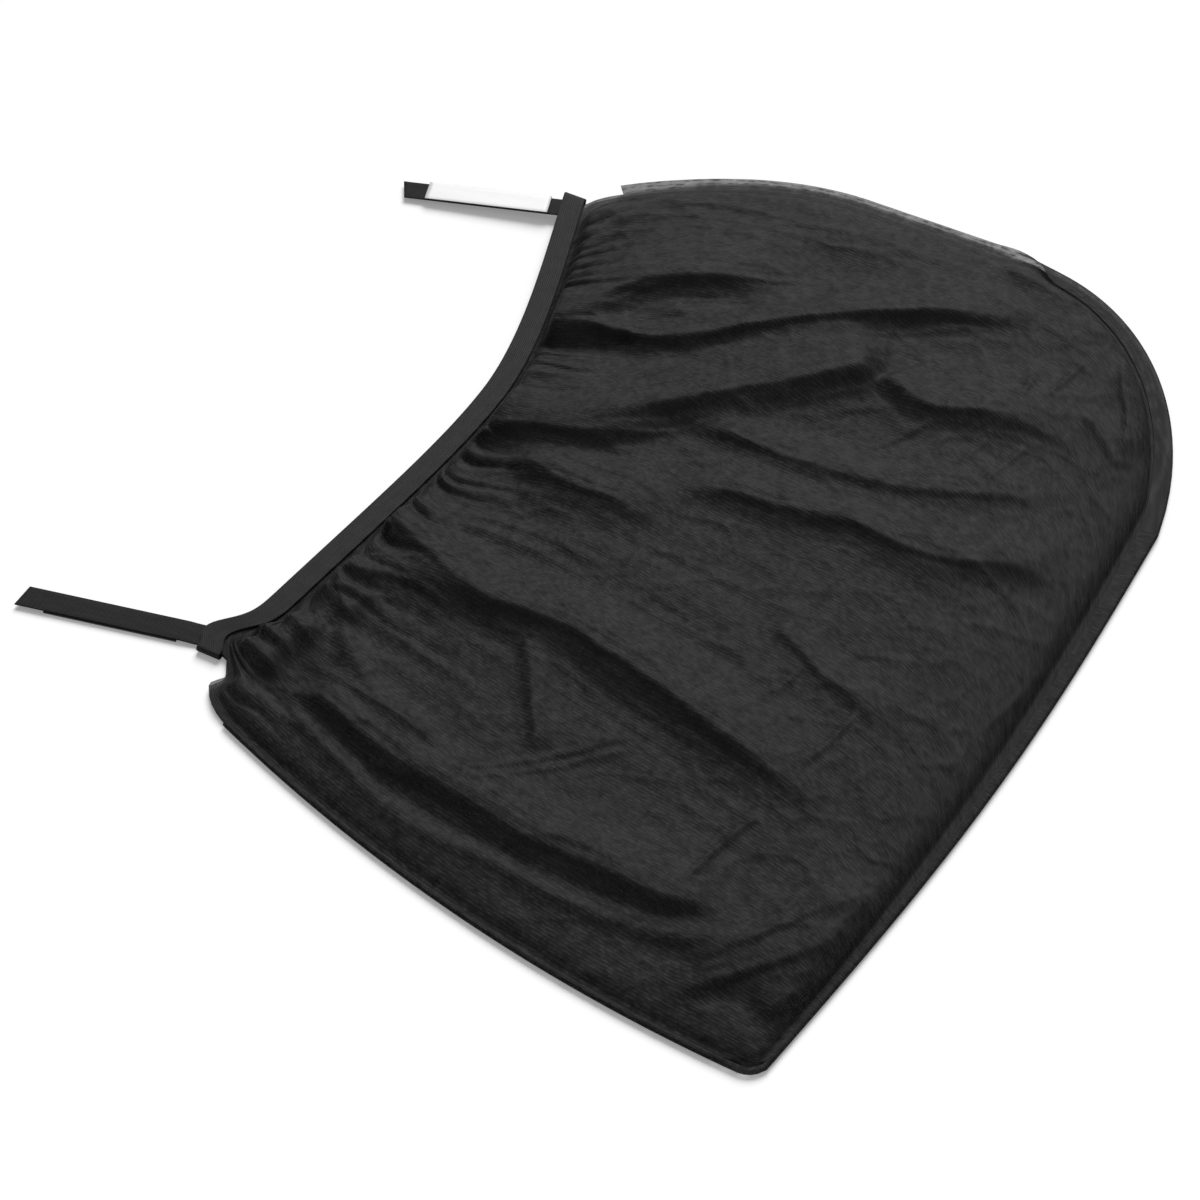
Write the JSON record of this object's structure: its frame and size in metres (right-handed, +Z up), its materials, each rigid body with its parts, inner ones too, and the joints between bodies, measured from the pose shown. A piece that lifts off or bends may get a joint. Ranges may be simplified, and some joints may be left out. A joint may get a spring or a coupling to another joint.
{
  "type": "car side window sunshade",
  "caption": "Slip-over side window sunshade: a flat bag of black knitted mesh with a gathered elastic mouth and a fastening strap at each end of the mouth.",
  "frame": {"origin": "middle of the underside: the centre of the bounding box at the floor", "axes": "+X along the mouth and the window's length, +Y from the mouth to the far edge, +Z up from the floor that the bag lies on"},
  "size_m": [0.8364, 0.7546, 0.0223],
  "materials": {
    "mesh": "black knitted mesh, see-through when single",
    "elastic": "black ribbed elastic tape, slight sheen",
    "webbing": "black woven webbing",
    "hook": "black nylon hook tape",
    "liner": "white coated peel-off backing"
  },
  "bodies": {
    "root": {"front_panel": "mesh", "back_panel": "mesh", "mouth_elastic": "elastic", "strap_right": "webbing", "hook_patch_right": "hook", "patch_liner_right": "liner", "strap_left": "webbing", "hook_patch_left": "hook", "patch_liner_left": "liner"}
  },
  "joints": []
}
